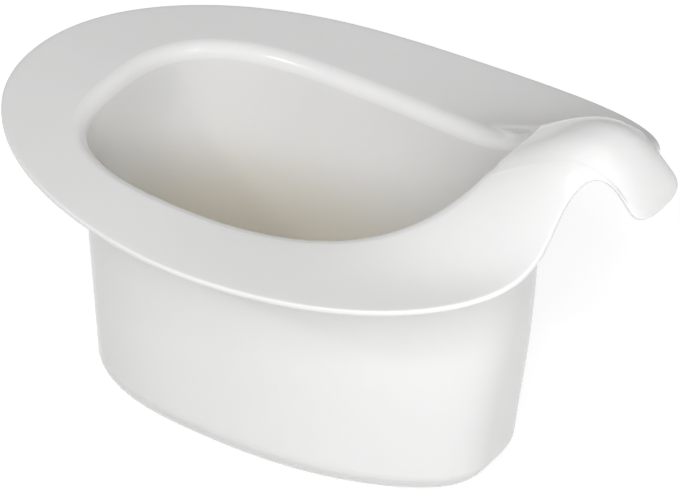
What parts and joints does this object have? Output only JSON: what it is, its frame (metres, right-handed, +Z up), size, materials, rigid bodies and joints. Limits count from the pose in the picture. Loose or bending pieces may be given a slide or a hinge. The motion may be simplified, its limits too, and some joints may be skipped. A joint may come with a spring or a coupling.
{
  "type": "training potty",
  "caption": "Training potty: deep oval bowl under a wide flat brim that rises at the front into a splash guard and curls over into a hooked tongue for lifting.",
  "frame": {"origin": "on the floor under the pot, midway between the rear edge of the brim and the tip of the tongue, on the plane of symmetry", "axes": "+Z up, +X towards the splash guard and its tongue, +Y to the left of a child that faces the guard"},
  "size_m": [0.3667, 0.215, 0.2404],
  "materials": {
    "pot_plastic": "white polypropylene, satin gloss",
    "grip_rubber": "soft matt light grey"
  },
  "bodies": {
    "root": {"pot": "pot_plastic", "grip_pad_front_left": "grip_rubber", "grip_pad_front_right": "grip_rubber", "grip_pad_rear_left": "grip_rubber", "grip_pad_rear_right": "grip_rubber"}
  },
  "joints": []
}
